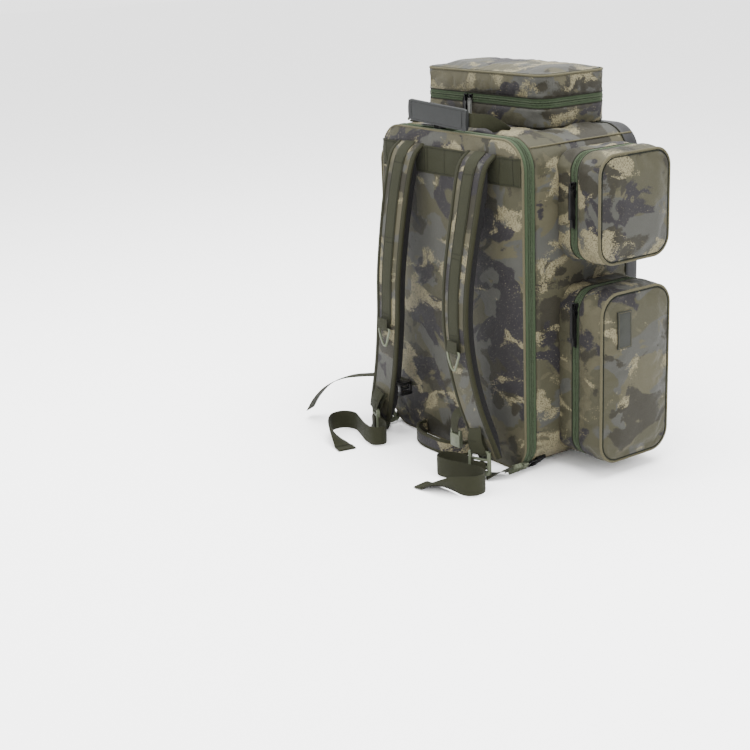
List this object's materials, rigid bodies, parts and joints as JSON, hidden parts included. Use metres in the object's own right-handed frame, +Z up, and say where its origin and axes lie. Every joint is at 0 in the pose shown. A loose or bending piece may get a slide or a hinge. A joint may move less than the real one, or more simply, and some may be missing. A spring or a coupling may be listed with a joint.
{
  "type": "tackle backpack",
  "caption": "Standing camouflage fishing tackle backpack: padded opening back lid with shoulder straps, zipped side and top pockets, grab handle and webbing tails.",
  "frame": {"origin": "on the floor under the middle of the main bag", "axes": "+Z up, the lid with the shoulder straps faces -Y, the two stacked pockets are on +X"},
  "size_m": [0.6601, 0.4787, 0.706],
  "materials": {
    "camo_fabric": "coated woven polyester with a blotched camouflage print",
    "dark_panel": "coated tarpaulin cloth",
    "olive_webbing": "woven webbing",
    "zip_tape": "woven zip tape with a coil",
    "sage_plastic": "moulded",
    "black_plastic": "moulded",
    "dark_foam": "mesh over foam",
    "slate_grip": "matt rubberised",
    "blackened_metal": "black coated"
  },
  "bodies": {
    "bag": {"body_shell": "camo_fabric", "front_panel": "dark_panel", "zip_body": "zip_tape", "ring_tab_right": "black_plastic", "ring_tab_left": "black_plastic", "d_ring_right": "blackened_metal", "d_ring_left": "blackened_metal", "top_pocket_base": "camo_fabric", "top_pocket_zip": "zip_tape", "upper_pocket_base": "camo_fabric", "upper_pocket_zip": "zip_tape", "lower_pocket_base": "camo_fabric", "lower_pocket_zip": "zip_tape", "side_pocket_base": "camo_fabric", "side_pocket_zip": "zip_tape"},
    "lid": {"lid_panel": "camo_fabric", "lid_foam": "dark_foam", "zip_lid": "zip_tape", "webbing_band": "olive_webbing", "bottom_handle": "camo_fabric", "strap_cover_right": "camo_fabric", "strap_foam_right": "dark_foam", "strap_webbing_right": "olive_webbing", "strap_tab_right": "olive_webbing", "ladder_lock_right": "sage_plastic", "adjuster_webbing_right": "olive_webbing", "webbing_tail_right": "olive_webbing", "snap_hook_right": "sage_plastic", "strap_cover_left": "camo_fabric", "strap_foam_left": "dark_foam", "strap_webbing_left": "olive_webbing", "strap_tab_left": "olive_webbing", "ladder_lock_left": "sage_plastic", "adjuster_webbing_left": "olive_webbing", "webbing_tail_left": "olive_webbing", "snap_hook_left": "sage_plastic", "sternum_webbing": "olive_webbing", "sternum_keeper": "black_plastic", "sternum_buckle": "sage_plastic"},
    "grab_handle": {"handle_grip": "slate_grip", "handle_webbing": "olive_webbing"},
    "top_door": {"top_pocket_door": "camo_fabric"},
    "upper_door": {"upper_pocket_door": "camo_fabric"},
    "lower_door": {"lower_pocket_door": "camo_fabric", "label_patch": "black_plastic"},
    "side_door": {"side_pocket_door": "camo_fabric", "molle_strip_low": "olive_webbing", "molle_strip_high": "olive_webbing"},
    "v_ring_right_body": {"v_ring_right": "sage_plastic"},
    "v_ring_left_body": {"v_ring_left": "sage_plastic"},
    "main_slider_a_body": {"main_slider_a": "black_plastic"},
    "main_slider_b_body": {"main_slider_b": "black_plastic"},
    "top_slider_a_body": {"top_slider_a": "black_plastic"},
    "top_slider_b_body": {"top_slider_b": "black_plastic"},
    "upper_slider_a_body": {"upper_slider_a": "black_plastic"},
    "upper_slider_b_body": {"upper_slider_b": "black_plastic"},
    "lower_slider_a_body": {"lower_slider_a": "black_plastic"},
    "lower_slider_b_body": {"lower_slider_b": "black_plastic"},
    "side_slider_a_body": {"side_slider_a": "black_plastic"},
    "side_slider_b_body": {"side_slider_b": "black_plastic"}
  },
  "joints": [
    {"name": "lid_opens", "type": "hinge", "parent": "bag", "child": "lid", "pos_m": [-0.206, -0.126, 0], "axis": [0, 0, -1], "range_deg": [0, 90]},
    {"name": "top_pocket_opens", "type": "hinge", "parent": "bag", "child": "top_door", "pos_m": [-0.044, 0.138, 0.66427], "axis": [-1, 0, 0], "range_deg": [0, 100]},
    {"name": "upper_pocket_opens", "type": "hinge", "parent": "bag", "child": "upper_door", "pos_m": [0.26245, 0.103, 0.49], "axis": [0, 0, 1], "range_deg": [0, 100]},
    {"name": "lower_pocket_opens", "type": "hinge", "parent": "bag", "child": "lower_door", "pos_m": [0.2646, 0.104, 0.1865], "axis": [0, 0, 1], "range_deg": [0, 100]},
    {"name": "side_pocket_opens", "type": "hinge", "parent": "bag", "child": "side_door", "pos_m": [-0.25299, 0.09, 0.31], "axis": [0, 0, -1], "range_deg": [0, 100]},
    {"name": "grab_handle_flops", "type": "hinge", "parent": "bag", "child": "grab_handle", "pos_m": [-0.03, -0.1, 0.612], "axis": [-1, 0, 0], "range_deg": [0, 60]},
    {"name": "v_ring_right_swings", "type": "hinge", "parent": "lid", "child": "v_ring_right_body", "pos_m": [0.107, -0.2255, 0.232], "axis": [-1, 0, 0], "range_deg": [0, 75]},
    {"name": "v_ring_left_swings", "type": "hinge", "parent": "lid", "child": "v_ring_left_body", "pos_m": [-0.107, -0.2255, 0.232], "axis": [-1, 0, 0], "range_deg": [0, 75]},
    {"name": "upper_slider_a_slides", "type": "slide", "parent": "bag", "child": "upper_slider_a_body", "axis": [0, 0, 1], "range_m": [0, 0.011]},
    {"name": "upper_slider_b_slides", "type": "slide", "parent": "bag", "child": "upper_slider_b_body", "axis": [0, 0, -1], "range_m": [0, 0.021]},
    {"name": "lower_slider_a_slides", "type": "slide", "parent": "bag", "child": "lower_slider_a_body", "axis": [0, 0, 1], "range_m": [0, 0.008]},
    {"name": "lower_slider_b_slides", "type": "slide", "parent": "bag", "child": "lower_slider_b_body", "axis": [0, 0, -1], "range_m": [0, 0.161]},
    {"name": "side_slider_a_slides", "type": "slide", "parent": "bag", "child": "side_slider_a_body", "axis": [0, 0, 1], "range_m": [0, 0.031]},
    {"name": "side_slider_b_slides", "type": "slide", "parent": "bag", "child": "side_slider_b_body", "axis": [0, 0, -1], "range_m": [0, 0.304]},
    {"name": "top_slider_a_slides", "type": "slide", "parent": "bag", "child": "top_slider_a_body", "axis": [-1, 0, 0], "range_m": [0, 0.075]},
    {"name": "top_slider_b_slides", "type": "slide", "parent": "bag", "child": "top_slider_b_body", "axis": [1, 0, 0], "range_m": [0, 0.13]},
    {"name": "main_slider_a_slides", "type": "slide", "parent": "bag", "child": "main_slider_a_body", "axis": [-1, 0, 0], "range_m": [0, 0.04]},
    {"name": "main_slider_b_slides", "type": "slide", "parent": "bag", "child": "main_slider_b_body", "axis": [1, 0, 0], "range_m": [0, 0.07]}
  ]
}
